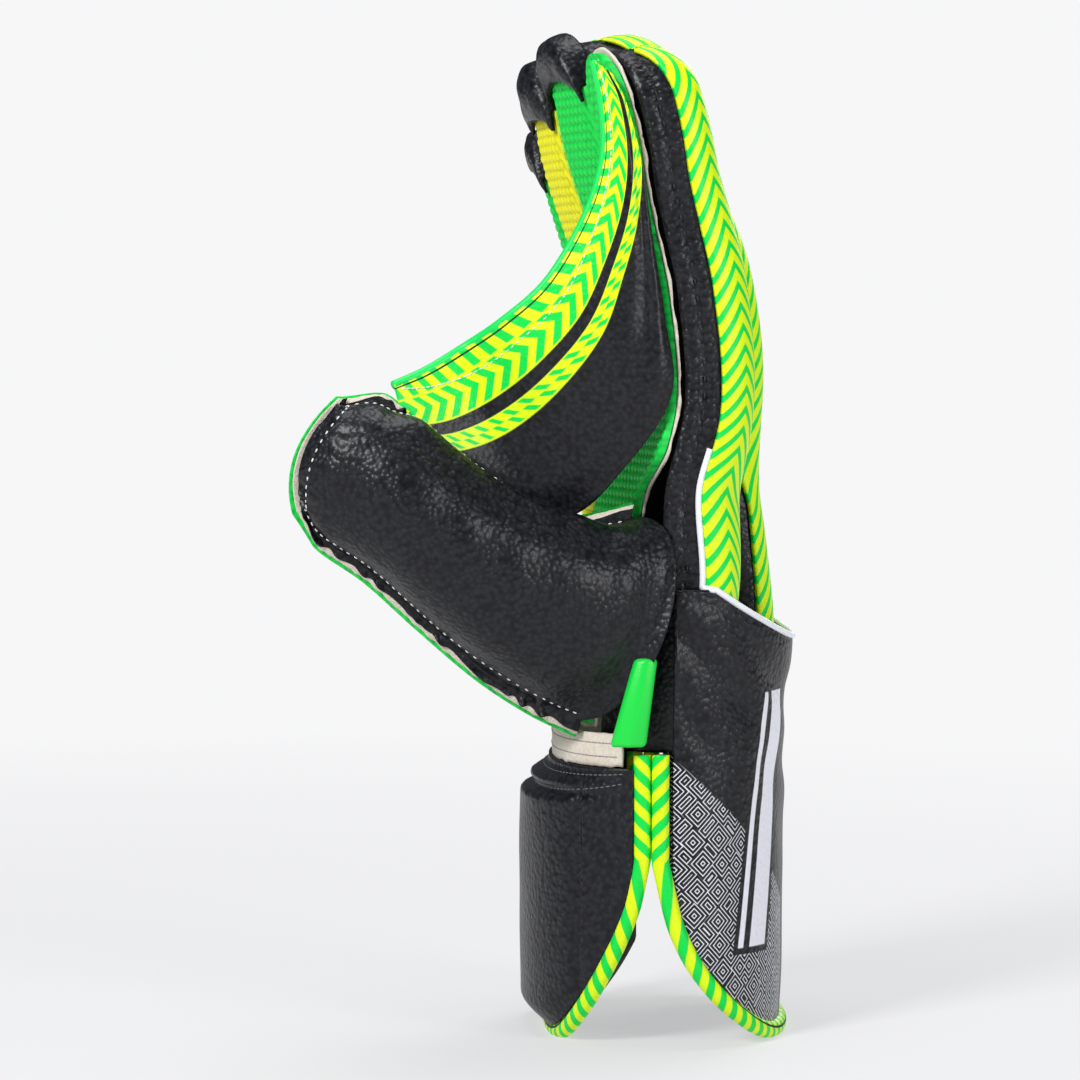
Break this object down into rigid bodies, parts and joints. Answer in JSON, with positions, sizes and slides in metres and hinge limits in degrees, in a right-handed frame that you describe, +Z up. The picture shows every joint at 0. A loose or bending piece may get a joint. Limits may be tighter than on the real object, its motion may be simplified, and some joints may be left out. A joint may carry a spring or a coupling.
{
  "type": "wicketkeeping glove",
  "caption": "Padded wicketkeeping glove for the right hand with a dimpled rubber palm, a catching web and a piped cuff",
  "frame": {"origin": "on the floor under the middle of the glove's bounding box", "axes": "+Z up the fingers, -X the palm side, +X the back of the hand, -Y the thumb side, +Y the little finger"},
  "size_m": [0.1528, 0.1302, 0.3105],
  "materials": {
    "black_leather": "glossy",
    "printed_leather": "satin",
    "web_leather": "satin",
    "piping": "satin",
    "raw_leather": "matte",
    "palm_rubber": "matte",
    "tab": "satin"
  },
  "bodies": {
    "root": {"palm_rubber": "palm_rubber", "palm_backing": "raw_leather", "thumb_rubber": "palm_rubber", "thumb_backing": "raw_leather", "thumb_stall": "black_leather", "web": "web_leather", "gauntlet": "black_leather", "gauntlet_piping": "piping", "wrist_pad": "black_leather", "wrist_pad_piping": "piping", "wrist_strip": "raw_leather", "wrist_tab": "tab", "finger_stall_index": "black_leather", "finger_strip_index": "printed_leather", "finger_stall_middle": "black_leather", "finger_strip_middle": "printed_leather", "finger_stall_ring": "black_leather", "finger_strip_ring": "printed_leather", "finger_stall_little": "black_leather", "finger_strip_little": "printed_leather"}
  },
  "joints": []
}
